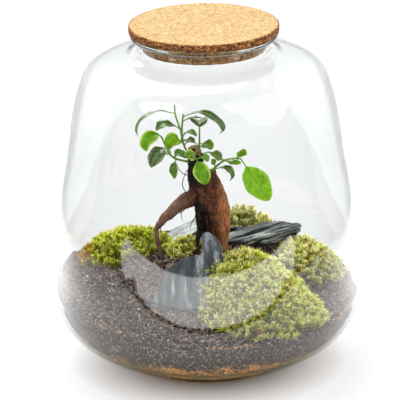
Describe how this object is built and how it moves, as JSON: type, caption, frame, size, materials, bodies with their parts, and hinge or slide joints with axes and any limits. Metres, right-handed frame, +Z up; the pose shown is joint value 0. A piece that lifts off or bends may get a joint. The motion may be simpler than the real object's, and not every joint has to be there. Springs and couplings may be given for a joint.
{
  "type": "glass plant terrarium",
  "caption": "Closed blown-glass terrarium jar with a cork lid, planted with a ginseng ficus, moss and slate on soil over sand.",
  "frame": {"origin": "middle of the jar's foot, on the surface that it stands on", "axes": "+Z up the jar's axis, -Y towards the front, +X to the right seen from the front"},
  "size_m": [0.2206, 0.2206, 0.25],
  "materials": {
    "glass": "clear blown glass, smooth and glossy",
    "cork": "agglomerated cork, matt and granular",
    "sand": "loose orange-tan sand and fine gravel, matt",
    "soil": "potting soil with bark crumbs, matt",
    "bark": "reddish brown ficus bark, slightly ridged, satin",
    "leaf": "green ficus leaves and stems, waxy",
    "dark_slate": "dark grey split slate, satin",
    "pale_slate": "light grey split slate, matt",
    "moss": "yellow-green cushion moss, matt and fibrous"
  },
  "bodies": {
    "root": {"glass_jar": "glass", "cork_lid": "cork", "drainage_sand": "sand", "potting_soil": "soil", "ficus_trunk": "bark", "ficus_shoot_a": "leaf", "ficus_shoot_b": "leaf", "ficus_shoot_c": "leaf", "ficus_shoot_d": "leaf", "ficus_shoot_e": "leaf", "ficus_shoot_f": "leaf", "slate_front": "dark_slate", "slate_right": "dark_slate", "slate_back_left": "pale_slate", "moss_left": "moss", "moss_centre": "moss", "moss_front_right": "moss", "moss_right": "moss", "moss_back": "moss"}
  },
  "joints": []
}
